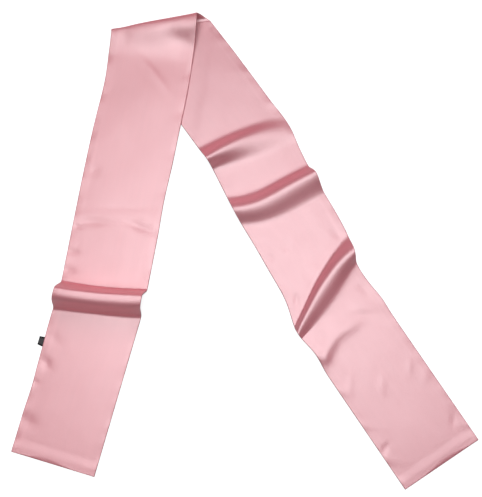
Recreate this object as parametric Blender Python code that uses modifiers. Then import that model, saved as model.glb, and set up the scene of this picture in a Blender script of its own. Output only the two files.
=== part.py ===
"""A satin skinny scarf, dropped on a table in an upside-down V.

The scarf is a long flat tube: a front panel and a back panel of the same cut, seamed along both
sides and turned right side out.  It is folded over once near its middle.  The right leg lies on the
table with its front panel up, and the left leg comes back over it with its back panel up.  Across
the legs stand soft cross folds, where the cloth pushed itself up as it was laid.

Units are metres, +Z is up, +Y points at the folded end, and the origin lies on the table in the
middle of the scarf's own outline.
"""

from collections import namedtuple

import bpy
import numpy as np

MM = 0.001

# Cloth
STRIP_WIDTH = 127 * MM
WALL = 1.0 * MM
SEAM_GAP = 0.3 * MM
TURN_SEAM_GAP = 0.42 * MM
LOFT = 0.7 * MM

# Where the strip's middle crosses the fold, on each leg
LOWER_LEG_START = (-0.1205, 0.3283)
UPPER_LEG_START = (-0.1306, 0.3290)

# Headings are in degrees from -Y towards +X
LOWER_LEG_HEADING = 37.5
UPPER_LEG_HEADING = -8.5
LOWER_LEG_LENGTH = 757.5 * MM
UPPER_LEG_LENGTH = 659.5 * MM

# A line across the strip: how far down the leg its left end, right end and belly lie
Line = namedtuple("Line", "left right bow")

# A cross fold: its far foot, crest and near foot, its height at each edge, how far its crest leans
# out past each edge, and how many degrees the leg turns at it
Fold = namedtuple("Fold", "name back crest front height_left height_right lean_left lean_right turn")

LOWER_LEG_FOLDS = [
    Fold("below the crossing", Line(175, 209, 0), Line(200, 226, -6), Line(222, 243, 4), 17, 4, 0, 0, -9.3),
    Fold("across the middle", Line(275, 284, 11), Line(290, 299, 8), Line(312, 332, 2), 12, 15, 1, 3, 4.8),
    Fold("slanting", Line(478, 392, -6), Line(488, 424, -11), Line(499, 444, 7), 1, 16, 0, 0, 2.3),
    Fold("soft dent", Line(507, 495, -4), Line(520, 512, -6), Line(553, 535, -14), 4, 0, 0, 0, 0.0),
]
UPPER_LEG_FOLDS = [
    Fold("standing ridge", Line(395, 383, 0), Line(413, 397, 0), Line(446, 421, 0), 25, 20, 2, 0, -5.3),
]

# A slow bend of a leg between its folds, where it starts and stops, in millimetres, and its degrees
Bend = namedtuple("Bend", "begin finish turn")

LOWER_LEG_BENDS = [Bend(60, 130, -1.5), Bend(340, 400, -4.6), Bend(500, 560, 5.0)]
UPPER_LEG_BENDS = [Bend(50, 120, -3.4), Bend(190, 290, 1.0)]

# A place where one edge is drawn in towards the strip's middle, or stands out where the depth is
# negative: its side, middle, reach and depth
Pull = namedtuple("Pull", "side middle reach depth")

LOWER_LEG_PULLS = [
    Pull("right", 225, 40, -2.2),
    Pull("right", 455, 62, 9.0),
    Pull("left", 438, 45, 3.5),
    Pull("left", 490, 45, -5.0),
    Pull("left", 530, 32, 2.5),
]
UPPER_LEG_PULLS = [
    Pull("left", 15, 40, 1.8),
    Pull("left", 85, 95, 2.2),
    Pull("left", 455, 65, -1.5),
    Pull("left", 560, 45, 1.3),
    Pull("right", 250, 60, 1.2),
]

# The turn at the folded end: the row where the strip leaves the table, the row at the top of the
# turn, the foot of the slope below it, the turn's radius at each edge, and how early in the turn the
# strip crosses over sideways (1 is evenly)
TURN_START = Line(-40.5, 36, 0)
TURN_TOP = Line(17.5, -13, 0)
SLOPE_FOOT = Line(38, 44, 0)
TURN_RADIUS_LEFT = 3.7
TURN_RADIUS_RIGHT = 11.0
TURN_CROSSES_EARLY = 2.3

# The upper leg comes down to the table past the lower leg's hidden edge, which it has left behind
# by the end of the crossing
CROSSING_END = Line(165, 155, 0)
STEP_BEGINS = 10 * MM
STEP_LENGTH = 26 * MM

# Blank folded tab in the side seam of the upper leg
TAB_MIDDLE = 493.5 * MM
TAB_GAP = 0.45 * MM
TAB_ROOT_WIDTH = 15.0 * MM
TAB_TIP_WIDTH = 12.5 * MM
TAB_REACH = 8.5 * MM
TAB_ROOT_HEIGHT = 1.1 * MM
TAB_TIP_HEIGHT = 0.65 * MM

# Points across the strip, as shares of its half width, closer together at the seams
ACROSS = np.array([-1.0, -0.93, -0.78, -0.55, -0.28, 0.0, 0.28, 0.55, 0.78, 0.93, 1.0])

# Rows of points over each kind of stretch
ROWS_IN_TURN = 12
ROWS_IN_SLOPE = 8
ROWS_OVER_CROSSING = 10
ROWS_UP_FOLD = 5
ROWS_DOWN_FOLD = 6
FLAT_ROW_SPACING = 45

# Colours, with roughness
SATIN_PINK = (0.84, 0.50, 0.54, 1.0)
SATIN_ROUGHNESS = 0.38
TAB_BLACK = (0.012, 0.012, 0.013, 1.0)
TAB_ROUGHNESS = 0.7

STRIP_MIDDLE = WALL + SEAM_GAP / 2
LAP = 2 * WALL + 2 * SEAM_GAP
PANEL_OFFSET = (WALL + SEAM_GAP) / 2


def ease(share):
    """Goes from 0 to 1 with level ends."""
    share = np.clip(share, 0.0, 1.0)
    return share * share * (3.0 - 2.0 * share)


def line_across(line, across):
    """How far down the leg a line's points lie: straight from its left to its right end, plus its bow."""
    share = (across + 1.0) / 2.0
    return (line.left + (line.right - line.left) * share + line.bow * 4.0 * share * (1.0 - share)) * MM


class LegPath:
    """The middle of one leg, seen from above, as a heading that turns at each fold and bend."""

    SAMPLES = 800
    OVERRUN = 0.08

    def __init__(self, start, heading, length, folds, bends, pulls):
        along = np.linspace(-self.OVERRUN, length + self.OVERRUN, self.SAMPLES)
        headings = np.full_like(along, heading)
        for bend in bends:
            headings += bend.turn * ease((along / MM - bend.begin) / (bend.finish - bend.begin))
        for fold in folds:
            begin = (fold.back.left + fold.back.right) / 2
            finish = (fold.front.left + fold.front.right) / 2
            headings += fold.turn * ease((along / MM - begin) / (finish - begin))
        self.along = along
        self.heading = np.radians(headings)
        step = along[1] - along[0]
        x = np.cumsum(np.sin(self.heading)) * step
        y = np.cumsum(-np.cos(self.heading)) * step
        self.x = x - np.interp(0.0, along, x) + start[0]
        self.y = y - np.interp(0.0, along, y) + start[1]
        self.pulls = pulls

    def points(self, along, across):
        """Points at a distance along the leg and a share of the half width across it."""
        heading = np.interp(along, self.along, self.heading)
        aside = across * STRIP_WIDTH / 2
        for pull in self.pulls:
            side = 1.0 if pull.side == "right" else -1.0
            near = np.clip(1.0 - np.abs(along / MM - pull.middle) / pull.reach, 0.0, 1.0)
            aside = aside - side * pull.depth * MM * ease(near) * ease(side * across)
        x = np.interp(along, self.along, self.x) + aside * np.cos(heading)
        y = np.interp(along, self.along, self.y) + aside * np.sin(heading)
        return np.stack([x, y], axis=-1)


def rows_between(first, last, count):
    """Rows of along-distances from one line to the next, without the last."""
    share = (np.arange(count) / count)[:, None]
    return line_across(first, ACROSS) * (1.0 - share) + line_across(last, ACROSS) * share


def flat_count(first, last):
    """The number of rows in a flat stretch, so that they stand about evenly apart."""
    middle = (last.left + last.right - first.left - first.right) / 2
    return max(2, int(round(middle / FLAT_ROW_SPACING)))


def leg_rows(first, folds, end):
    """The along-distances, heights and sideways lean of a leg's rows, fold by fold, to its end."""
    share = (ACROSS + 1.0) / 2.0
    along = []
    lift = []
    lean = []

    def add(rows, shape, fold):
        along.append(rows)
        height = fold.height_left * (1.0 - share) + fold.height_right * share if fold else 0.0 * share
        lift.append(shape[:, None] * height * MM)
        sideways = fold.lean_right * share**3 - fold.lean_left * (1.0 - share) ** 3 if fold else 0.0 * share
        lean.append(shape[:, None] * sideways * MM)

    last = first
    for fold in folds:
        count = flat_count(last, fold.back)
        add(rows_between(last, fold.back, count), np.zeros(count), None)
        up = np.arange(ROWS_UP_FOLD) / ROWS_UP_FOLD
        add(rows_between(fold.back, fold.crest, ROWS_UP_FOLD), np.sin(up * np.pi / 2) ** 1.5, fold)
        down = np.arange(ROWS_DOWN_FOLD) / ROWS_DOWN_FOLD
        add(rows_between(fold.crest, fold.front, ROWS_DOWN_FOLD), np.cos(down * np.pi / 2) ** 1.3, fold)
        last = fold.front
    count = flat_count(last, end)
    add(rows_between(last, end, count), np.zeros(count), None)
    add(line_across(end, ACROSS)[None, :], np.zeros(1), None)
    return np.concatenate(along), np.concatenate(lift), np.concatenate(lean)


def sheet_points(path, along, height, lean):
    """Rows of points of the strip's middle surface, at their heights, leaning aside where a fold does."""
    across = np.broadcast_to(ACROSS, along.shape)
    plan = path.points(along, across)
    heading = np.interp(along, path.along, path.heading)
    plan = plan + lean[..., None] * np.stack([np.cos(heading), np.sin(heading)], axis=-1)
    return np.concatenate([plan, height[..., None]], axis=-1)


def lower_leg():
    """The strip's middle surface on the lower leg, from where it leaves the turn to its end."""
    end = Line(LOWER_LEG_LENGTH / MM, LOWER_LEG_LENGTH / MM, 0)
    path = LegPath(
        LOWER_LEG_START, LOWER_LEG_HEADING, LOWER_LEG_LENGTH, LOWER_LEG_FOLDS, LOWER_LEG_BENDS, LOWER_LEG_PULLS
    )
    along, lift, lean = leg_rows(TURN_START, LOWER_LEG_FOLDS, end)
    return sheet_points(path, along, STRIP_MIDDLE + lift, lean)


def upper_leg(lower):
    """The strip's middle surface round the turn and down the upper leg, to its end.

    In the turn the rows go from the lower leg's first row to the upper leg's first row, sooner
    sideways than upwards, and bulge out by a radius that grows from the left edge to the right.
    """
    end = Line(UPPER_LEG_LENGTH / MM, UPPER_LEG_LENGTH / MM, 0)
    path = LegPath(
        UPPER_LEG_START, UPPER_LEG_HEADING, UPPER_LEG_LENGTH, UPPER_LEG_FOLDS, UPPER_LEG_BENDS, UPPER_LEG_PULLS
    )
    slope = rows_between(TURN_TOP, SLOPE_FOOT, ROWS_IN_SLOPE)
    crossing = rows_between(SLOPE_FOOT, CROSSING_END, ROWS_OVER_CROSSING)
    level = np.zeros((ROWS_IN_SLOPE + ROWS_OVER_CROSSING, len(ACROSS)))
    along, lift, lean = leg_rows(CROSSING_END, UPPER_LEG_FOLDS, end)
    along = np.concatenate([slope, crossing, along])
    points = sheet_points(path, along, np.concatenate([level, lift]), np.concatenate([level, lean]))

    hidden_edge = lower[0, 0, :2]
    edge_way = lower[3, 0, :2] - hidden_edge
    outward = np.array([edge_way[1], -edge_way[0]]) / np.hypot(*edge_way)
    past_edge = (points[..., :2] - hidden_edge) @ outward
    points[..., 2] += STRIP_MIDDLE + LAP * (1.0 - ease((past_edge - STEP_BEGINS) / STEP_LENGTH))

    share = (ACROSS + 1.0) / 2.0
    radius = (TURN_RADIUS_LEFT * (1.0 - share) + TURN_RADIUS_RIGHT * share) * MM
    fall = 1.0 - ease(np.arange(ROWS_IN_SLOPE) / ROWS_IN_SLOPE)
    points[:ROWS_IN_SLOPE, :, 2] += (2.0 * radius - LAP) * fall[:, None]

    angle = (np.arange(ROWS_IN_TURN) / ROWS_IN_TURN - 0.5) * np.pi
    done = 1.0 - (0.5 - angle / np.pi)[:, None, None] ** TURN_CROSSES_EARLY
    fold_way = lower[0, -1, :2] - lower[0, 0, :2]
    away = np.array([-fold_way[1], fold_way[0]]) / np.hypot(*fold_way)
    plan = lower[0, :, :2] * (1.0 - done) + points[0, :, :2] * done
    plan = plan + (np.cos(angle)[:, None] * radius)[..., None] * away
    height = STRIP_MIDDLE + radius * (1.0 + np.sin(angle)[:, None])
    turn = np.concatenate([plan, height[..., None]], axis=-1)
    return np.concatenate([turn, points])


def offset_ways(points):
    """Normals of a sheet of points, up where the strip lies flat and longer than one at a crease.

    Each is the middle of the normals of the two rows of faces beside it, stretched so that a sheet
    moved along them keeps its distance from the first on both sides of the crease.
    """
    aside = np.gradient(points, axis=1)
    face = np.cross(np.diff(points, axis=0), (aside[1:] + aside[:-1]) / 2)
    face /= np.linalg.norm(face, axis=-1, keepdims=True)
    before = np.concatenate([face[:1], face])
    after = np.concatenate([face, face[-1:]])
    middle = before + after
    middle /= np.linalg.norm(middle, axis=-1, keepdims=True)
    return middle / np.sum(middle * before, axis=-1, keepdims=True)


def puff(points, first_row, end_fade):
    """How far the upper panel stands off the lower one: nothing at the seams and ends, full between."""
    rows = np.arange(len(points))
    begin = ease((rows - first_row) / 3.0)
    finish = ease((len(points) - 1 - rows) / end_fade)
    return LOFT * (begin * finish)[:, None] * (1.0 - np.abs(ACROSS) ** 3)[None, :]


def add_sheet_object(name, points, material, collection):
    """A grid primitive laid on the points, with the cloth's thickness from a Solidify modifier."""
    rows, columns = points.shape[:2]
    bpy.ops.mesh.primitive_grid_add(x_subdivisions=columns - 1, y_subdivisions=rows - 1, size=2.0)
    sheet = bpy.context.active_object
    sheet.name = name
    sheet.data.name = name
    order = np.array([vertex.co[:] for vertex in sheet.data.vertices])
    column = np.rint((order[:, 0] + 1.0) / 2.0 * (columns - 1)).astype(int)
    row = np.rint((1.0 - order[:, 1]) / 2.0 * (rows - 1)).astype(int)
    sheet.data.vertices.foreach_set("co", points[row, column].ravel())
    sheet.data.update()
    sheet.data.shade_smooth()
    wall = sheet.modifiers.new("Wall", "SOLIDIFY")
    wall.thickness = WALL
    wall.offset = 0.0
    wall.use_even_offset = True
    sheet.data.materials.append(material)
    for owner in sheet.users_collection:
        owner.objects.unlink(sheet)
    collection.objects.link(sheet)
    return sheet


def add_material(name, colour, roughness):
    """A Principled material with one colour and roughness, not metallic."""
    material = bpy.data.materials.new(name)
    material.use_nodes = True
    shader = material.node_tree.nodes["Principled BSDF"]
    shader.inputs["Base Color"].default_value = colour
    shader.inputs["Roughness"].default_value = roughness
    shader.inputs["Metallic"].default_value = 0.0
    return material


def tab_points():
    """The folded tab's middle surface: a short trapezium that goes out and down from the side seam."""
    path = LegPath(
        UPPER_LEG_START, UPPER_LEG_HEADING, UPPER_LEG_LENGTH, UPPER_LEG_FOLDS, UPPER_LEG_BENDS, UPPER_LEG_PULLS
    )
    out = np.linspace(1.0, 0.0, 5)[None, :]
    width = TAB_TIP_WIDTH * out + TAB_ROOT_WIDTH * (1.0 - out)
    along = TAB_MIDDLE + np.linspace(-0.5, 0.5, 5)[:, None] * width
    across = -1.0 - (TAB_GAP + out * TAB_REACH) / (STRIP_WIDTH / 2)
    plan = path.points(along, np.broadcast_to(across, along.shape))
    height = np.broadcast_to(TAB_ROOT_HEIGHT + (TAB_TIP_HEIGHT - TAB_ROOT_HEIGHT) * out, along.shape)
    return np.concatenate([plan, height[..., None]], axis=-1)


def main():
    for old in list(bpy.data.objects):
        bpy.data.objects.remove(old, do_unlink=True)
    collection = bpy.data.collections.new("skinny_scarf")
    bpy.context.scene.collection.children.link(collection)

    lower = lower_leg()
    upper = upper_leg(lower)
    seam_step = lower[1] - lower[0]
    lower[0] += seam_step / np.linalg.norm(seam_step, axis=-1, keepdims=True) * TURN_SEAM_GAP

    lower_up = offset_ways(lower)
    upper_up = offset_ways(upper)
    upper_up[0] = (0.0, 0.0, -1.0)
    lower_puff = puff(lower, 4, 3.0)[..., None]
    upper_puff = puff(upper, ROWS_IN_TURN + ROWS_IN_SLOPE, 3.0)[..., None]

    front_satin = add_material("front_satin", SATIN_PINK, SATIN_ROUGHNESS)
    back_satin = add_material("back_satin", SATIN_PINK, SATIN_ROUGHNESS)
    tab_cloth = add_material("tab_cloth", TAB_BLACK, TAB_ROUGHNESS)

    add_sheet_object(
        "front_panel_lower_leg", lower + lower_up * (PANEL_OFFSET + lower_puff), front_satin, collection
    )
    add_sheet_object("back_panel_lower_leg", lower - lower_up * PANEL_OFFSET, back_satin, collection)
    add_sheet_object(
        "back_panel_upper_leg", upper + upper_up * (PANEL_OFFSET + upper_puff), back_satin, collection
    )
    add_sheet_object("front_panel_upper_leg", upper - upper_up * PANEL_OFFSET, front_satin, collection)
    add_sheet_object("side_tab", tab_points(), tab_cloth, collection)


main()
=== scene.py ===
"""A pale pink satin skinny scarf, laid on a white table in an upside-down V, seen from above.

Units are metres, +Z is up and +Y points at the folded end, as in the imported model.
"""

from collections import namedtuple

import bpy
import numpy as np
from mathutils import Matrix


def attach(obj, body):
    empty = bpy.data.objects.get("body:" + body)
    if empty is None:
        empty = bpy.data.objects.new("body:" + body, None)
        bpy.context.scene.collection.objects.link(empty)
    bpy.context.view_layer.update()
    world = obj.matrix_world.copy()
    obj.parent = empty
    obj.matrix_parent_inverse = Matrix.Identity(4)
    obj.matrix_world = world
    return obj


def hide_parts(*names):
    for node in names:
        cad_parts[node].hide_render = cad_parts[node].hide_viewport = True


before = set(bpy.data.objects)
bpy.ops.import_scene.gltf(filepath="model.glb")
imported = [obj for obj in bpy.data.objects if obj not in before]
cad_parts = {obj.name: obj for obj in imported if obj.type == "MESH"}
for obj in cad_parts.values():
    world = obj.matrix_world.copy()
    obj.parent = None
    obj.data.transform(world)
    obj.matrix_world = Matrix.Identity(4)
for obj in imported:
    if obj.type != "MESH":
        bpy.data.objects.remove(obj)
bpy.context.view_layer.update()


# Front panel, on the right leg.  It is one of two long strips of polyester satin, laid right sides
# together, seamed all round, turned right side out and pressed flat, so each edge is a soft roll with
# the seam at half its height.  This stretch is the face of the leg that lies on the table.
MM = 0.001
# Sizes of the strip, which all four cloth pieces share
STRIP_WIDTH = 127 * MM
STRIP_MIDDLE = 1.15 * MM
CLOTH = 0.34 * MM
ROLL = 0.9 * MM
SEAM_RISE = 0.19 * MM
PANEL_RISE = STRIP_MIDDLE - CLOTH / 2
LOFT = 0.7 * MM
ALLOWANCE = 8.5 * MM
ALLOWANCE_FADE = 5.0 * MM
ALLOWANCE_RISE = 0.1 * MM
END_STRETCH = 8.0
END_RISE = 0.9 * MM
END_RISE_FADE = 16.0 * MM
LIP = 7.0 * MM
LIP_WIDTH = 24 * MM

COLUMNS = 81
COLUMN_CROWDING = 0.85
ROWS_UP_FOLD = 22
ROWS_DOWN_FOLD = 22
ROWS_AT_END = 12
FLAT_SPACING = 2.5
FLAT_CROWDING = 0.5
FEWEST_FLAT_ROWS = 4
PATH_POINTS = 1600
PATH_MARGIN = 80.0
FOLD_SOFTENING = 24
RIDGE_SOFTENING = 8

RIGHT_LEG_START = (-0.1205, 0.3283)
RIGHT_LEG_HEADING = 37.5
RIGHT_LEG_LENGTH = 757.5

# All in millimetres along the leg, with turns in degrees from -Y towards +X
Line = namedtuple("Line", "left right bow wave", defaults=[0])
Fold = namedtuple(
    "Fold",
    "name back crest front height_left height_right lean_left lean_right turn rise fall hang",
    defaults=[1.0],
)
Bend = namedtuple("Bend", "begin finish turn")
Pull = namedtuple("Pull", "side middle reach depth")
Mark = namedtuple("Mark", "name along aside long wide turn height")

RIGHT_LEG_FOLDS = [
    Fold(
        "below the crossing", Line(178, 208, -2), Line(200, 225, -5), Line(223, 245, 5),
        height_left=18, height_right=1.2, lean_left=0, lean_right=0, turn=-9.3, rise=2.3, fall=1.5,
    ),
    Fold(
        "across the middle", Line(273, 284, 5, 2), Line(291, 302, 5, 2), Line(312, 336, 9, 2),
        height_left=12, height_right=15.5, lean_left=0, lean_right=3.5, turn=4.8, rise=2.3, fall=1.5,
    ),
    Fold(
        "slanting", Line(483, 402, -8), Line(493, 425, -11), Line(503, 444, 4),
        height_left=7, height_right=14.5, lean_left=0, lean_right=1, turn=2.3, rise=1.9, fall=1.5,
    ),
    Fold(
        "soft dent", Line(502, 488, -4), Line(520, 512, -6), Line(553, 535, -14),
        height_left=2, height_right=0, lean_left=0, lean_right=0, turn=0.0, rise=2.0, fall=1.8,
    ),
]
RIGHT_LEG_BENDS = [Bend(60, 130, -1.5), Bend(340, 400, -4.6), Bend(500, 560, 5.0)]
RIGHT_LEG_PULLS = [
    Pull("right", 225, 40, -2.2),
    Pull("right", 455, 62, 9.0),
    Pull("left", 438, 45, 3.5),
    Pull("left", 490, 45, -5.0),
    Pull("left", 530, 32, 2.5),
]
RIGHT_LIP_ASIDE = 10 * MM
RIGHT_LEG_MARKS = [
    Mark("pucker by the turn", 43, 58, 6, 3, -48, -1),
    Mark("pucker above the slanting fold", 377, -53, 7, 4, 60, -1),
    Mark("dimple above the slanting fold", 375, -26, 7, 5, 90, -0.7),
    Mark("dimple at the right edge", 395, 50, 9, 6, 20, -0.8),
    Mark("pucker beside the slanting fold", 452, -48, 8, 4, -30, -1),
    Mark("dimple below the slanting fold", 486, 51, 9, 6, 30, -0.6),
    Mark("faint line below the slanting fold", 514, 25, 18, 6, 58, -0.7),
    Mark("hollow above the dent", 512, -42, 9, 6, -35, -1),
    Mark("dent, right part", 523, -5, 22, 8, 90, 1.3),
    Mark("dent, middle part", 529, -36, 16, 9, -67, 2.0),
    Mark("dent, left part", 538, -54, 13, 10, -45, 3.0),
    Mark("line below the dent", 591, -45, 16, 5, -35, 0.6),
    Mark("line in the middle", 617, -7, 15, 5, -35, 0.6),
    Mark("line at the right", 617, 41, 10, 4, -35, 0.5),
    Mark("dimple at the right", 641, 52, 9, 7, -30, 0.5),
    Mark("dimple near the end", 715, 50, 10, 5, -35, -0.5),
    Mark("pucker near the end", 694, -54, 8, 4, -60, -0.9),
]

# Where the strip leaves the table to turn over, and where it comes out from under the left leg
TURN_START = Line(-40.5, 36, 0)
LAST_COVERED = Line(155, 28, 0)
UNCOVERED_FADE = 25.0
FULLNESS_BEFORE_END = 30.0

# Waves in the cloth: each sine's length for one radian, in metres along the cloth or across it, how
# many times the leg's phase it is shifted, and its share of the depth
PuckerWave = namedtuple("PuckerWave", "length phases side_shift strength")
PUCKER_WAVES = [
    PuckerWave(3.1 * MM, 1.0, 1.3, 0.5),
    PuckerWave(4.7 * MM, 2.1, -0.7, 1.0),
    PuckerWave(8.9 * MM, 0.6, 2.2, 1.4),
]
PUCKER_DEPTH = 0.2 * MM
PUCKER_REACH = 7.0 * MM
SwellWave = namedtuple("SwellWave", "length length_across phases strength")
SWELL_WAVES = [
    SwellWave(19 * MM, 31 * MM, 1.0, 1.0),
    SwellWave(13 * MM, -17 * MM, 2.4, 0.5),
    SwellWave(41 * MM, -24 * MM, 1.7, 1.2),
]
SWELL_DEPTH = 0.1 * MM
SWELL_EDGE = 9.0 * MM

Path = namedtuple("Path", "along heading x y")

crowded = np.linspace(-1.0, 1.0, COLUMNS)
ACROSS = (1.0 - COLUMN_CROWDING) * crowded + COLUMN_CROWDING * np.sin(crowded * np.pi / 2)
FROM_EDGE = (1.0 - np.abs(ACROSS)) * STRIP_WIDTH / 2
FULLNESS = LOFT * (1.0 - np.abs(ACROSS) ** 3)[None, :]


def ease(share):
    """Goes from 0 to 1 with level ends: three times the square less twice the cube."""
    share = np.clip(share, 0.0, 1.0)
    return share * share * (3.0 - 2.0 * share)


def line_across(line):
    """Distances along the leg of a line's points: straight, plus a parabola's bow and one sine wave."""
    share = (ACROSS + 1.0) / 2.0
    straight = line.left + (line.right - line.left) * share
    return straight + line.bow * 4.0 * share * (1.0 - share) + line.wave * np.sin(2 * np.pi * share)


def rows_between(first, last, shares):
    """Rows that lie at the given shares of the way from one line to the next."""
    shares = np.asarray(shares)[:, None]
    return line_across(first) * (1.0 - shares) + line_across(last) * shares


def steps(count):
    """Even shares from 0 up to, but not including, 1."""
    return np.arange(count) / count


def flat_steps(first, last):
    """Shares for a flat stretch, one flat spacing apart in the middle and closer at both ends."""
    middle = (last.left + last.right - first.left - first.right) / 2
    even = steps(max(FEWEST_FLAT_ROWS, int(round(middle / FLAT_SPACING))))
    return even - FLAT_CROWDING * np.sin(2 * np.pi * even) / (2 * np.pi)


def leg_path(start, heading, length, folds, bends):
    """The middle of a leg seen from above: a heading that turns at each fold and bend, summed up."""
    along = np.linspace(-PATH_MARGIN, length + PATH_MARGIN, PATH_POINTS)
    headings = np.full_like(along, heading)
    for bend in bends:
        headings += bend.turn * ease((along - bend.begin) / (bend.finish - bend.begin))
    for fold in folds:
        begin = (fold.back.left + fold.back.right) / 2
        finish = (fold.front.left + fold.front.right) / 2
        headings += fold.turn * ease((along - begin) / (finish - begin))
    headings = np.radians(headings)
    step = (along[1] - along[0]) * MM
    x = np.cumsum(np.sin(headings)) * step
    y = np.cumsum(-np.cos(headings)) * step
    x += start[0] - np.interp(0.0, along, x)
    y += start[1] - np.interp(0.0, along, y)
    return Path(along, headings, x, y)


def leg_rows(first, folds, length):
    """Rows down a leg from a first line to its end: their distances along it, lifts and sideways leans.

    A fold rises as a quarter turn's sine and falls as its cosine, each to the fold's own power.  The
    share of the way down is first raised to the fold's hang, which keeps its top level for longer.
    Its lean grows with the cube of the way to either edge.  The last rows crowd towards the end.
    """
    share = (ACROSS + 1.0) / 2.0
    level = np.zeros(COLUMNS)
    along = []
    lift = []
    lean = []
    last = first
    for fold in folds:
        height = fold.height_left * (1.0 - share) + fold.height_right * share
        sideways = fold.lean_right * share**3 - fold.lean_left * (1.0 - share) ** 3
        up = np.sin(steps(ROWS_UP_FOLD) * np.pi / 2) ** fold.rise
        down = np.cos(steps(ROWS_DOWN_FOLD) ** fold.hang * np.pi / 2) ** fold.fall
        flat = flat_steps(last, fold.back)
        along += [rows_between(last, fold.back, flat)]
        along += [rows_between(fold.back, fold.crest, steps(ROWS_UP_FOLD))]
        along += [rows_between(fold.crest, fold.front, steps(ROWS_DOWN_FOLD))]
        lift += [flat[:, None] * level, up[:, None] * height, down[:, None] * height]
        lean += [flat[:, None] * level, up[:, None] * sideways, down[:, None] * sideways]
        last = fold.front
    near_end = Line(length - END_STRETCH, length - END_STRETCH, 0)
    end = Line(length, length, 0)
    flat = flat_steps(last, near_end)
    closing = 1.0 - (1.0 - np.arange(ROWS_AT_END + 1) / ROWS_AT_END) ** 2
    along += [rows_between(last, near_end, flat), rows_between(near_end, end, closing)]
    lift += [flat[:, None] * level, closing[:, None] * level]
    lean += [flat[:, None] * level, closing[:, None] * level]
    return np.concatenate(along), np.concatenate(lift), np.concatenate(lean)


def on_leg(path, pulls, along, lift, lean):
    """Points of the strip's middle surface: along the path, half a width aside, drawn in at the pulls."""
    heading = np.interp(along, path.along, path.heading)
    across = np.broadcast_to(ACROSS, along.shape)
    aside = across * STRIP_WIDTH / 2 + lean * MM
    for pull in pulls:
        side = 1.0 if pull.side == "right" else -1.0
        near = ease(1.0 - np.abs(along - pull.middle) / pull.reach)
        aside = aside - side * pull.depth * MM * near * ease(side * across)
    x = np.interp(along, path.along, path.x) + aside * np.cos(heading)
    y = np.interp(along, path.along, path.y) + aside * np.sin(heading)
    return np.stack([x, y, lift * MM], axis=-1)


def soften(points, passes):
    """In each pass a row becomes half itself and a quarter of each neighbour; the end rows stay."""
    for _ in range(passes):
        points[1:-1] = points[1:-1] / 2 + (points[:-2] + points[2:]) / 4
    return points


def ways_up(points):
    """Unit normals of a grid of points: the cross product of its steps along and across."""
    way = np.cross(np.gradient(points, axis=0), np.gradient(points, axis=1))
    return way / np.linalg.norm(way, axis=-1, keepdims=True)


def cloth_run(points):
    """Distance along the cloth of each row, measured over its folds at each column."""
    step = np.linalg.norm(np.diff(points, axis=0), axis=-1)
    return np.concatenate([np.zeros((1, points.shape[1])), np.cumsum(step, axis=0)])


def edge_roll(distance, width=ROLL):
    """A quarter ellipse: 0 at the strip's edge, 1 from one roll's width inwards."""
    return np.sqrt(1.0 - (1.0 - np.clip(distance / width, 0.0, 1.0)) ** 2)


def end_roll(to_end, lip_aside):
    """The roll over the end seam, wider by a bell curve where the seam draws the cloth down to a lip."""
    aside = ACROSS * STRIP_WIDTH / 2 - lip_aside
    return edge_roll(to_end * MM, ROLL + LIP * np.exp(-((aside / LIP_WIDTH) ** 2)))


def panel_rise(to_end, lip_aside):
    """Height of a panel over the strip's middle: the seam's, growing with both rolls to the panel's."""
    rolls = edge_roll(FROM_EDGE)[None, :] * end_roll(to_end, lip_aside)
    return SEAM_RISE + (PANEL_RISE - SEAM_RISE) * rolls


def seam_bands(to_end):
    """Rise over the seam allowances inside the edges and, higher and softer, inside the end."""
    side = 1.0 - ease((FROM_EDGE[None, :] - ALLOWANCE) / ALLOWANCE_FADE)
    end = 1.0 - ease((to_end * MM - ALLOWANCE) / END_RISE_FADE)
    return np.maximum(ALLOWANCE_RISE * side, END_RISE * end)


def puckers(run, phase):
    """Small waves that die away from the edges, three sines of unlike lengths along the cloth."""
    side = np.sign(ACROSS)[None, :]
    total = np.zeros_like(run)
    for wave in PUCKER_WAVES:
        total += wave.strength * np.sin(run / wave.length + wave.phases * phase + wave.side_shift * side)
    return PUCKER_DEPTH * total * np.exp(-FROM_EDGE / PUCKER_REACH)[None, :]


def swells(run, phase):
    """Very low, long waves over the whole cloth, sines that cross each other at a slant."""
    aside = ACROSS[None, :] * STRIP_WIDTH / 2
    total = np.zeros_like(run)
    for wave in SWELL_WAVES:
        total += wave.strength * np.sin(run / wave.length + aside / wave.length_across + wave.phases * phase)
    return SWELL_DEPTH * total * ease(FROM_EDGE / SWELL_EDGE)[None, :]


def soft_marks(marks, along):
    """Sum of the marks' heights: each is a bell curve, long one way and wide the other, turned."""
    aside = ACROSS[None, :] * STRIP_WIDTH / 2 / MM
    total = np.zeros_like(along)
    for mark in marks:
        turn = np.radians(mark.turn)
        down = along - mark.along
        side = aside - mark.aside
        lengthways = down * np.cos(turn) + side * np.sin(turn)
        sideways = side * np.cos(turn) - down * np.sin(turn)
        total += mark.height * MM * np.exp(-((lengthways / mark.long) ** 2) - (sideways / mark.wide) ** 2)
    return total


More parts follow.
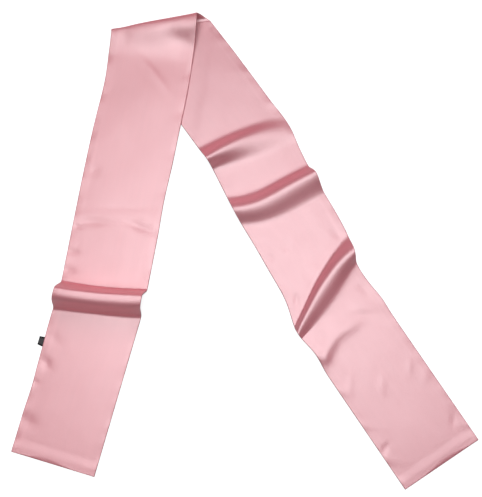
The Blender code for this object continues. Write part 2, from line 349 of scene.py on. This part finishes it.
def panel_mesh(name, points, run, faces_up):
    """Lays a grid of points as a mesh, with a UV map in metres of cloth: aside, and along its run."""
    rows, columns = points.shape[:2]
    index = np.arange(rows * columns).reshape(rows, columns)
    corners = [index[:-1, :-1], index[1:, :-1], index[1:, 1:], index[:-1, 1:]]
    if not faces_up:
        corners = corners[::-1]
    quads = np.stack(corners, axis=-1).reshape(-1, 4)
    mesh = bpy.data.meshes.new(name)
    mesh.from_pydata(points.reshape(-1, 3), [], quads)
    aside = np.broadcast_to(ACROSS * STRIP_WIDTH / 2, run.shape)
    chart = np.stack([aside, run], axis=-1).reshape(-1, 2)
    layer = mesh.uv_layers.new(name="cloth")
    layer.data.foreach_set("uv", chart[quads.ravel()].astype(np.float32).ravel())
    mesh.shade_smooth()
    panel = bpy.data.objects.new(name, mesh)
    bpy.context.scene.collection.objects.link(panel)
    wall = panel.modifiers.new("Cloth thickness", "SOLIDIFY")
    wall.thickness = CLOTH
    wall.offset = 0.0
    return panel


FLOAT_LENGTH = 1.1 * MM
FLOAT_WIDTH = 0.19 * MM
FLOAT_GAP = 0.03 * MM
TONE_SCALE = (160.0, 9.0, 1.0)
GLOSS_SCALE = (60.0, 40.0, 1.0)
WEAVE_DEPTH = 0.04 * MM


def weave_group():
    """A node group of the satin's weave: long warp floats, staggered row by row, and slow unevenness.

    Height is the floats' brick pattern.  Tone and Gloss are slow noises, stretched along the warp.
    """
    group = bpy.data.node_groups.new("satin weave", "ShaderNodeTree")
    cloth_in = group.interface.new_socket(name="Cloth", in_out="INPUT", socket_type="NodeSocketVector")
    cloth_in.description = "the cloth's own UV map, in metres"
    group.interface.new_socket(name="Height", in_out="OUTPUT", socket_type="NodeSocketFloat")
    group.interface.new_socket(name="Tone", in_out="OUTPUT", socket_type="NodeSocketFloat")
    group.interface.new_socket(name="Gloss", in_out="OUTPUT", socket_type="NodeSocketFloat")
    nodes = group.nodes
    links = group.links
    entry = nodes.new("NodeGroupInput")
    leave = nodes.new("NodeGroupOutput")

    floats = nodes.new("ShaderNodeTexBrick")
    floats.inputs["Scale"].default_value = 1.0
    floats.inputs["Brick Width"].default_value = FLOAT_LENGTH
    floats.inputs["Row Height"].default_value = FLOAT_WIDTH
    floats.inputs["Mortar Size"].default_value = FLOAT_GAP
    floats.inputs["Mortar Smooth"].default_value = 1.0
    floats.offset = 0.4
    turned = nodes.new("ShaderNodeMapping")
    turned.inputs["Rotation"].default_value = (0.0, 0.0, np.pi / 2)
    links.new(entry.outputs["Cloth"], turned.inputs["Vector"])
    links.new(turned.outputs["Vector"], floats.inputs["Vector"])

    def slow_noise(scale, detail):
        stretched = nodes.new("ShaderNodeMapping")
        stretched.inputs["Scale"].default_value = scale
        noise = nodes.new("ShaderNodeTexNoise")
        noise.inputs["Scale"].default_value = 1.0
        noise.inputs["Detail"].default_value = detail
        links.new(entry.outputs["Cloth"], stretched.inputs["Vector"])
        links.new(stretched.outputs["Vector"], noise.inputs["Vector"])
        return noise

    tone = slow_noise(TONE_SCALE, detail=3.0)
    gloss = slow_noise(GLOSS_SCALE, detail=2.0)
    links.new(floats.outputs["Fac"], leave.inputs["Height"])
    links.new(tone.outputs["Fac"], leave.inputs["Tone"])
    links.new(gloss.outputs["Fac"], leave.inputs["Gloss"])
    return group


WEAVE = weave_group()


def satin_material(name, deep, pale):
    """Satin: a colour that wavers a little along the warp, a broad white gloss and a soft sheen."""
    material = bpy.data.materials.new(name)
    material.use_nodes = True
    nodes = material.node_tree.nodes
    links = material.node_tree.links
    shader = nodes["Principled BSDF"]
    shader.inputs["Metallic"].default_value = 0.1
    shader.inputs["IOR"].default_value = 2.53
    shader.inputs["Specular IOR Level"].default_value = 1.0
    shader.inputs["Sheen Weight"].default_value = 0.12
    shader.inputs["Sheen Roughness"].default_value = 0.4
    shader.inputs["Sheen Tint"].default_value = (1.0, 0.78, 0.80, 1.0)
    chart = nodes.new("ShaderNodeUVMap")
    chart.uv_map = "cloth"
    weave = nodes.new("ShaderNodeGroup")
    weave.node_tree = WEAVE
    colour = nodes.new("ShaderNodeMix")
    colour.data_type = "RGBA"
    colour.inputs["A"].default_value = deep
    colour.inputs["B"].default_value = pale
    roughness = nodes.new("ShaderNodeMapRange")
    roughness.inputs["To Min"].default_value = 0.44
    roughness.inputs["To Max"].default_value = 0.5
    bump = nodes.new("ShaderNodeBump")
    bump.invert = True
    bump.inputs["Strength"].default_value = 0.35
    bump.inputs["Distance"].default_value = WEAVE_DEPTH
    links.new(chart.outputs["UV"], weave.inputs["Cloth"])
    links.new(weave.outputs["Tone"], colour.inputs["Factor"])
    links.new(colour.outputs["Result"], shader.inputs["Base Color"])
    links.new(weave.outputs["Gloss"], roughness.inputs["Value"])
    links.new(roughness.outputs["Result"], shader.inputs["Roughness"])
    links.new(weave.outputs["Height"], bump.inputs["Height"])
    links.new(bump.outputs["Normal"], shader.inputs["Normal"])
    return material


# The front satin's colour is a slightly darker copy of the same satin: painted shade for the right leg, whose
# top it is.
FRONT_SATIN_PAINTED_DARKER = satin_material(
    "front satin", deep=(0.735, 0.197, 0.242, 1.0), pale=(0.79, 0.216, 0.264, 1.0)
)

right_path = leg_path(
    RIGHT_LEG_START, RIGHT_LEG_HEADING, RIGHT_LEG_LENGTH, RIGHT_LEG_FOLDS, RIGHT_LEG_BENDS
)
right_along, right_lift, right_lean = leg_rows(TURN_START, RIGHT_LEG_FOLDS, RIGHT_LEG_LENGTH)
right_middle = on_leg(right_path, RIGHT_LEG_PULLS, right_along, right_lift, right_lean)
right_middle[..., 2] += STRIP_MIDDLE
right_middle = soften(right_middle, FOLD_SOFTENING)
right_run = cloth_run(right_middle)
right_up = ways_up(right_middle)
right_to_end = RIGHT_LEG_LENGTH - right_along

clear_of_left_leg = ease((right_along - line_across(LAST_COVERED)) / UNCOVERED_FADE)
right_loft = FULLNESS * clear_of_left_leg * ease(right_to_end / FULLNESS_BEFORE_END)
right_relief = puckers(right_run, phase=0.4) + swells(right_run, phase=1.1)
right_relief = right_relief + soft_marks(RIGHT_LEG_MARKS, right_along) + seam_bands(right_to_end)
right_relief = right_relief * clear_of_left_leg * edge_roll(FROM_EDGE)[None, :]
right_relief = right_relief * end_roll(right_to_end, RIGHT_LIP_ASIDE)
right_rise = panel_rise(right_to_end, RIGHT_LIP_ASIDE)
front_right = right_middle + right_up * (right_rise + right_loft + right_relief)[..., None]

front_satin_right_leg = panel_mesh("front_satin_right_leg", front_right, right_run, faces_up=True)
front_satin_right_leg.data.materials.append(FRONT_SATIN_PAINTED_DARKER)
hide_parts("front_panel_lower_leg")
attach(front_satin_right_leg, "root")


# Back panel, on the right leg.  It is the second strip of the same satin, seamed to the first along
# both edges and at the end.  Here it is the underside, pressed flat on the table, and it rises with
# the front panel where the strip is pushed up into folds.
# Its colour is a slightly lighter copy of the front satin's: painted light for the left leg, whose top it is.
BACK_SATIN_PAINTED_LIGHTER = satin_material(
    "back satin", deep=(0.79, 0.206, 0.249, 1.0), pale=(0.845, 0.225, 0.271, 1.0)
)

back_right = right_middle - right_up * right_rise[..., None]

back_satin_right_leg = panel_mesh("back_satin_right_leg", back_right, right_run, faces_up=False)
back_satin_right_leg.data.materials.append(BACK_SATIN_PAINTED_LIGHTER)
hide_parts("back_panel_lower_leg")
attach(back_satin_right_leg, "root")


# Back panel, on the left leg.  The same strip of satin comes round the turn at the top and lies
# face up from there.  The turn is tight at its left corner and open at its right one, and the leg
# comes down to the table past the hidden edge of the leg below it.
LEFT_LEG_START = (-0.1306, 0.3290)
LEFT_LEG_HEADING = -8.5
LEFT_LEG_LENGTH = 659.5
LAP = 2.6 * MM

LEFT_LEG_FOLDS = [
    Fold(
        "standing ridge", Line(397, 385, 3), Line(405, 391, 1.5), Line(442, 419, 0),
        height_left=35, height_right=33, lean_left=-3, lean_right=0, turn=-5.3, rise=1.1, fall=2.0, hang=2.25,
    ),
]
LEFT_LEG_BENDS = [Bend(50, 120, -3.4), Bend(190, 290, 1.0)]
LEFT_LEG_PULLS = [
    Pull("left", 15, 40, 1.8),
    Pull("left", 85, 95, 2.2),
    Pull("left", 455, 65, -1.5),
    Pull("left", 560, 45, 1.3),
    Pull("right", 250, 60, 1.2),
]
LEFT_LIP_ASIDE = -10 * MM
LEFT_LEG_MARKS = [
    Mark("hollow by the turn's tight side", 21, -42, 13, 11, 0, -0.6),
    Mark("ridge over the hidden edge", 69, 10, 38, 6, 49, 0.75),
    Mark("dimple at the left edge", 228, -48, 8, 6, 90, -0.6),
    Mark("faint line across", 273, 0, 55, 5, 101, -0.6),
    Mark("line across, left part", 301, -34, 22, 6, 97, -1.45),
    Mark("line across, right part", 295, 34, 22, 6, 79, -1.45),
    Mark("pucker under that line", 312, -57, 8, 3.5, 90, -1.2),
    Mark("second pucker", 350, -57, 10, 5, 90, -1),
    Mark("third pucker", 377, -57, 10, 6, 90, -1),
    Mark("dimple by the tab", 484, -50, 14, 8, 60, -0.4),
    Mark("dimple below the tab", 522, -52, 10, 7, 60, -1.2),
    Mark("pucker below that", 553, -60, 7, 4, 90, -0.8),
    Mark("dimple near the end", 610, -55, 14, 10, 90, -1.2),
]
# The hollows that both panels sink into together
LEFT_LEG_HOLLOWS = [Mark("hollow by the turn's open side", 15, 42, 24, 13, 80, -2.6)]

TURN_TOP = Line(17.5, -13, 0)
SLOPE_FOOT = Line(64, 66, 0)
TURN_BULGE_BELOW = 0.8
TURN_BULGE_ABOVE = 0.45
TURN_RADIUS_LEFT = 3.7
TURN_RADIUS_RIGHT = 11.0
TURN_CROSSES_EARLY = 2.3
ROWS_IN_TURN = 48
ROWS_IN_SLOPE = 40
HIDDEN_EDGE_ROW = 40
STEP_BEGINS = 1 * MM
STEP_LENGTH = 55 * MM
FULLNESS_BEGINS = 60.0
FULLNESS_GROWS = 60.0


def left_leg_surface(path, hidden_corner, edge_way, first_row):
    """The strip's middle surface round the turn and down the left leg, and its distances along it.

    In the turn a row's plan goes from the right leg's first row to the left leg's, sooner sideways
    than upwards, plus a bulge by powers of the angle's cosine, and its height is one plus the sine.
    Each is times a radius that grows from the left edge to the right one.  From there the strip comes
    down by a curve with a long tail: what is left of the slope, to the fourth power, times one plus
    four times what is done.
    """
    slope = rows_between(TURN_TOP, SLOPE_FOOT, steps(ROWS_IN_SLOPE))
    along, lift, lean = leg_rows(SLOPE_FOOT, LEFT_LEG_FOLDS, LEFT_LEG_LENGTH)
    along = np.concatenate([slope, along])
    lift = np.concatenate([np.zeros_like(slope), lift])
    lean = np.concatenate([np.zeros_like(slope), lean])
    points = on_leg(path, LEFT_LEG_PULLS, along, lift, lean)

    outward = np.array([edge_way[1], -edge_way[0]]) / np.hypot(*edge_way)
    past_edge = (points[..., :2] - hidden_corner) @ outward
    points[..., 2] += STRIP_MIDDLE + LAP * (1.0 - ease((past_edge - STEP_BEGINS) / STEP_LENGTH))

    share = (ACROSS + 1.0) / 2.0
    radius = (TURN_RADIUS_LEFT * (1.0 - share) + TURN_RADIUS_RIGHT * share) * MM
    down = steps(ROWS_IN_SLOPE)[:, None]
    points[:ROWS_IN_SLOPE, :, 2] += (2.0 * radius - LAP) * (1.0 - down) ** 4 * (1.0 + 4.0 * down)

    angle = (steps(ROWS_IN_TURN) - 0.5) * np.pi
    done = 1.0 - (0.5 - angle / np.pi)[:, None, None] ** TURN_CROSSES_EARLY
    fold_way = first_row[-1] - first_row[0]
    away = np.array([-fold_way[1], fold_way[0]]) / np.hypot(*fold_way)
    plan = first_row * (1.0 - done) + points[0, :, :2] * done
    power = np.where(angle < 0.0, TURN_BULGE_BELOW, TURN_BULGE_ABOVE)
    bulge = np.clip(np.cos(angle), 0.0, 1.0) ** power
    plan = plan + (bulge[:, None] * radius)[..., None] * away
    height = STRIP_MIDDLE + radius * (1.0 + np.sin(angle)[:, None])
    turn = np.concatenate([plan, height[..., None]], axis=-1)
    along = np.concatenate([np.repeat(along[:1], ROWS_IN_TURN, axis=0), along])
    return np.concatenate([turn, points]), along


left_path = leg_path(LEFT_LEG_START, LEFT_LEG_HEADING, LEFT_LEG_LENGTH, LEFT_LEG_FOLDS, LEFT_LEG_BENDS)
left_middle, left_along = left_leg_surface(
    left_path,
    hidden_corner=right_middle[0, 0, :2],
    edge_way=right_middle[HIDDEN_EDGE_ROW, 0, :2] - right_middle[0, 0, :2],
    first_row=right_middle[0, :, :2],
)
left_middle = soften(left_middle, RIDGE_SOFTENING)
left_middle[..., 2] += soft_marks(LEFT_LEG_HOLLOWS, left_along)
left_run = cloth_run(left_middle)
left_up = ways_up(left_middle)
# Where the strip leaves the right leg, the back panel's side still faces down
left_up[0] = (0.0, 0.0, -1.0)
left_to_end = LEFT_LEG_LENGTH - left_along

past_turn = ease((left_along - FULLNESS_BEGINS) / FULLNESS_GROWS)
left_loft = FULLNESS * past_turn * ease(left_to_end / FULLNESS_BEFORE_END)
left_relief = puckers(left_run, phase=2.9) + swells(left_run, phase=0.3)
left_relief = left_relief + soft_marks(LEFT_LEG_MARKS, left_along) + seam_bands(left_to_end)
left_relief = left_relief * edge_roll(FROM_EDGE)[None, :] * end_roll(left_to_end, LEFT_LIP_ASIDE)
left_rise = panel_rise(left_to_end, LEFT_LIP_ASIDE)
back_left = left_middle + left_up * (left_rise + left_loft + left_relief)[..., None]

back_satin_left_leg = panel_mesh("back_satin_left_leg", back_left, left_run, faces_up=True)
back_satin_left_leg.data.materials.append(BACK_SATIN_PAINTED_LIGHTER)
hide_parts("back_panel_upper_leg")
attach(back_satin_left_leg, "root")


# Front panel, on the left leg.  The first strip again: it lines the inside of the turn and is the
# underside of the left leg, on the right leg near the turn and on the table below that.
front_left = left_middle - left_up * left_rise[..., None]

front_satin_left_leg = panel_mesh("front_satin_left_leg", front_left, left_run, faces_up=False)
front_satin_left_leg.data.materials.append(FRONT_SATIN_PAINTED_DARKER)
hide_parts("front_panel_upper_leg")
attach(front_satin_left_leg, "root")


# Side tab.  It is a short piece of black woven ribbon, folded in half and caught by its cut ends in
# the left leg's side seam.  It is blank, and its face is painted greyer than its black edges: a painted sheen
# of its weave.
TAB_MIDDLE = 493.5
TAB_ROOT_WIDTH = 15.0
TAB_TIP_WIDTH = 12.5
TAB_REACH = 8.5 * MM
TAB_TUCK = 1.2 * MM
TAB_FOLD = 0.28 * MM
TAB_TURN_SHARE = 0.12
TAB_SEAM_HEIGHT = 1.0 * MM
TAB_DROOP = 0.35 * MM
TAB_PINCH = 0.25
TAB_POINTS_ROUND = 61
TAB_POINTS_WIDE = 33
RIBBON = 0.22 * MM
RIBBON_FACE_ENDS = 2.6 * MM
RIBBON_EDGE_BEGINS = 5.2 * MM
RIB_DEPTH = 0.08 * MM


def tab_surface(path, rounds, widths):
    """The ribbon's surface: out along the top, half a turn round its fold, and back along the bottom.

    The reach grows evenly to the fold, plus the turn's cosine, and the width shrinks evenly.  The
    height falls evenly to the fold, plus the turn's sine, which is pinched to a quarter at the seam.
    """
    out = np.clip(np.minimum(rounds, 1.0 - rounds) / (0.5 - TAB_TURN_SHARE), 0.0, 1.0)
    turned = np.clip((rounds - 0.5 + TAB_TURN_SHARE) / (2 * TAB_TURN_SHARE), 0.0, 1.0)
    angle = np.pi / 2 - np.pi * turned
    reach = -TAB_TUCK + (TAB_REACH + TAB_TUCK) * out + TAB_FOLD * np.cos(angle)
    width = TAB_ROOT_WIDTH + (TAB_TIP_WIDTH - TAB_ROOT_WIDTH) * out
    along = TAB_MIDDLE + widths * width
    heading = np.interp(along, path.along, path.heading)
    aside = -(STRIP_WIDTH / 2 + reach)
    x = np.interp(along, path.along, path.x) + aside * np.cos(heading)
    y = np.interp(along, path.along, path.y) + aside * np.sin(heading)
    roundness = TAB_FOLD * (TAB_PINCH + (1.0 - TAB_PINCH) * out)
    height = TAB_SEAM_HEIGHT - TAB_DROOP * out + roundness * np.sin(angle)
    return np.stack([x, y, height], axis=-1)


def ribbon_material():
    """Black woven ribbon: fine ribs across it, black woven edges, and a face painted greyer as a painted
    sheen.
    """
    material = bpy.data.materials.new("black ribbon")
    material.use_nodes = True
    nodes = material.node_tree.nodes
    links = material.node_tree.links
    shader = nodes["Principled BSDF"]
    shader.inputs["Roughness"].default_value = 0.55
    shader.inputs["Specular IOR Level"].default_value = 0.25
    chart = nodes.new("ShaderNodeUVMap")
    chart.uv_map = "cloth"
    ribs = nodes.new("ShaderNodeTexWave")
    ribs.inputs["Scale"].default_value = 900.0
    ribs.inputs["Distortion"].default_value = 0.6
    face = nodes.new("ShaderNodeSeparateXYZ")
    from_edge = nodes.new("ShaderNodeMath")
    from_edge.operation = "ABSOLUTE"
    painted_sheen_fade = nodes.new("ShaderNodeMapRange")
    painted_sheen_fade.inputs["From Min"].default_value = RIBBON_EDGE_BEGINS
    painted_sheen_fade.inputs["From Max"].default_value = RIBBON_FACE_ENDS
    painted_sheen_fade.interpolation_type = "SMOOTHSTEP"
    # Painted sheen: the face is painted greyer than the black edges, in place of the sheen of its weave.
    colour = nodes.new("ShaderNodeMix")
    colour.data_type = "RGBA"
    colour.inputs["A"].default_value = (0.008, 0.008, 0.009, 1.0)
    colour.inputs["B"].default_value = (0.06, 0.058, 0.06, 1.0)
    bump = nodes.new("ShaderNodeBump")
    bump.inputs["Strength"].default_value = 0.5
    bump.inputs["Distance"].default_value = RIB_DEPTH
    links.new(chart.outputs["UV"], ribs.inputs["Vector"])
    links.new(chart.outputs["UV"], face.inputs["Vector"])
    links.new(face.outputs["Y"], from_edge.inputs[0])
    links.new(from_edge.outputs["Value"], painted_sheen_fade.inputs["Value"])
    links.new(painted_sheen_fade.outputs["Result"], colour.inputs["Factor"])
    links.new(colour.outputs["Result"], shader.inputs["Base Color"])
    links.new(ribs.outputs["Fac"], bump.inputs["Height"])
    links.new(bump.outputs["Normal"], shader.inputs["Normal"])
    return material


tab_rounds, tab_widths = np.meshgrid(
    np.linspace(0.0, 1.0, TAB_POINTS_ROUND), np.linspace(-0.5, 0.5, TAB_POINTS_WIDE), indexing="ij"
)
tab_points = tab_surface(left_path, tab_rounds, tab_widths)
tab_index = np.arange(tab_rounds.size).reshape(tab_rounds.shape)
tab_corners = [tab_index[:-1, :-1], tab_index[:-1, 1:], tab_index[1:, 1:], tab_index[1:, :-1]]
tab_quads = np.stack(tab_corners, axis=-1).reshape(-1, 4)
tab_mesh = bpy.data.meshes.new("folded_tab")
tab_mesh.from_pydata(tab_points.reshape(-1, 3), [], tab_quads)
tab_chart = np.stack([tab_rounds * 2 * TAB_REACH, tab_widths * TAB_TIP_WIDTH * MM], axis=-1).reshape(-1, 2)
tab_layer = tab_mesh.uv_layers.new(name="cloth")
tab_layer.data.foreach_set("uv", tab_chart[tab_quads.ravel()].astype(np.float32).ravel())
tab_mesh.shade_smooth()
folded_tab = bpy.data.objects.new("folded_tab", tab_mesh)
bpy.context.scene.collection.objects.link(folded_tab)
tab_wall = folded_tab.modifiers.new("Ribbon thickness", "SOLIDIFY")
tab_wall.thickness = RIBBON
tab_wall.offset = 0.0
tab_mesh.materials.append(ribbon_material())
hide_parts("side_tab")
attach(folded_tab, "root")


# Table, light and camera.  The scarf lies on a plain white table, lit by a broad soft box overhead and
# a far window beyond its folded end.  The camera looks almost straight down from 0.85 m.
TABLE_SIZE = 8.0
TABLE_DROP = 0.3 * MM
TABLE_BRIGHTNESS = 0.85
SOFT_BOX_PLACE = (0.05, -0.08, 2.6)
WINDOW_DISTANCE = 12.0
WINDOW_TURN = -54.0
CAMERA_PLACE = (0.0181, -0.0285, 0.85)
CAMERA_TURN_SIDEWAYS = 1.355
CAMERA_TURN_UP = 1.92

table_mesh = bpy.data.meshes.new("table")
half = TABLE_SIZE / 2
table_corners = [
    (-half, -half, -TABLE_DROP),
    (half, -half, -TABLE_DROP),
    (half, half, -TABLE_DROP),
    (-half, half, -TABLE_DROP),
]
table_mesh.from_pydata(table_corners, [], [(0, 1, 2, 3)])
table = bpy.data.objects.new("table", table_mesh)
bpy.context.scene.collection.objects.link(table)
table_white = bpy.data.materials.new("table white")
table_white.use_nodes = True
# Grey to the cloth, so that little light comes back from it, and white to the camera
table_shader = table_white.node_tree.nodes["Principled BSDF"]
table_shader.inputs["Base Color"].default_value = (0.4, 0.4, 0.4, 1.0)
table_shader.inputs["Roughness"].default_value = 0.9
table_shader.inputs["Emission Color"].default_value = (1.0, 1.0, 1.0, 1.0)
table_seen = table_white.node_tree.nodes.new("ShaderNodeLightPath")
table_level = table_white.node_tree.nodes.new("ShaderNodeMath")
table_level.operation = "MULTIPLY"
table_level.inputs[1].default_value = TABLE_BRIGHTNESS
table_white.node_tree.links.new(table_seen.outputs["Is Camera Ray"], table_level.inputs[0])
table_white.node_tree.links.new(table_level.outputs["Value"], table_shader.inputs["Emission Strength"])
table_mesh.materials.append(table_white)

soft_box = bpy.data.lights.new("soft box", "AREA")
soft_box.shape = "RECTANGLE"
soft_box.size = 2.9
soft_box.size_y = 2.4
soft_box.energy = 54.0
soft_box.color = (0.96, 0.985, 1.0)
soft_box_object = bpy.data.objects.new("soft box", soft_box)
soft_box_object.location = SOFT_BOX_PLACE
bpy.context.scene.collection.objects.link(soft_box_object)

window = bpy.data.lights.new("window", "AREA")
window.shape = "RECTANGLE"
window.size = 7.0
window.size_y = 5.0
window.energy = 765.0
window_object = bpy.data.objects.new("window", window)
window_turn = Matrix.Rotation(np.radians(WINDOW_TURN), 4, "X")
window_object.matrix_world = window_turn @ Matrix.Translation((0.0, 0.0, WINDOW_DISTANCE))
# It shades the folds, and only the soft box shows in the satin's gloss
window_object.visible_glossy = False
bpy.context.scene.collection.objects.link(window_object)

room = bpy.data.worlds.new("room")
room.use_nodes = True
# Dim to the cloth, and pale to the camera where the table ends
dim_room = room.node_tree.nodes["Background"]
dim_room.inputs["Color"].default_value = (1.0, 0.99, 0.985, 1.0)
dim_room.inputs["Strength"].default_value = 0.03
pale_wall = room.node_tree.nodes.new("ShaderNodeBackground")
pale_wall.inputs["Color"].default_value = (0.9, 0.9, 0.9, 1.0)
seen = room.node_tree.nodes.new("ShaderNodeLightPath")
either = room.node_tree.nodes.new("ShaderNodeMixShader")
room.node_tree.links.new(seen.outputs["Is Camera Ray"], either.inputs["Fac"])
room.node_tree.links.new(dim_room.outputs["Background"], either.inputs[1])
room.node_tree.links.new(pale_wall.outputs["Background"], either.inputs[2])
room.node_tree.links.new(either.outputs["Shader"], room.node_tree.nodes["World Output"].inputs["Surface"])
bpy.context.scene.world = room

camera_data = bpy.data.cameras.new("camera")
camera_data.lens = 42.07
camera_data.sensor_fit = "VERTICAL"
camera_data.sensor_height = 36.0
camera_data.shift_x = -0.001
camera_data.shift_y = 0.001
camera_data.clip_start = 0.01
camera = bpy.data.objects.new("camera", camera_data)
turn_sideways = Matrix.Rotation(np.radians(CAMERA_TURN_SIDEWAYS), 4, "Y")
turn_up = Matrix.Rotation(np.radians(CAMERA_TURN_UP), 4, "X")
camera.matrix_world = Matrix.Translation(CAMERA_PLACE) @ turn_sideways @ turn_up
bpy.context.scene.collection.objects.link(camera)
bpy.context.scene.camera = camera
bpy.context.scene.view_settings.view_transform = "Standard"
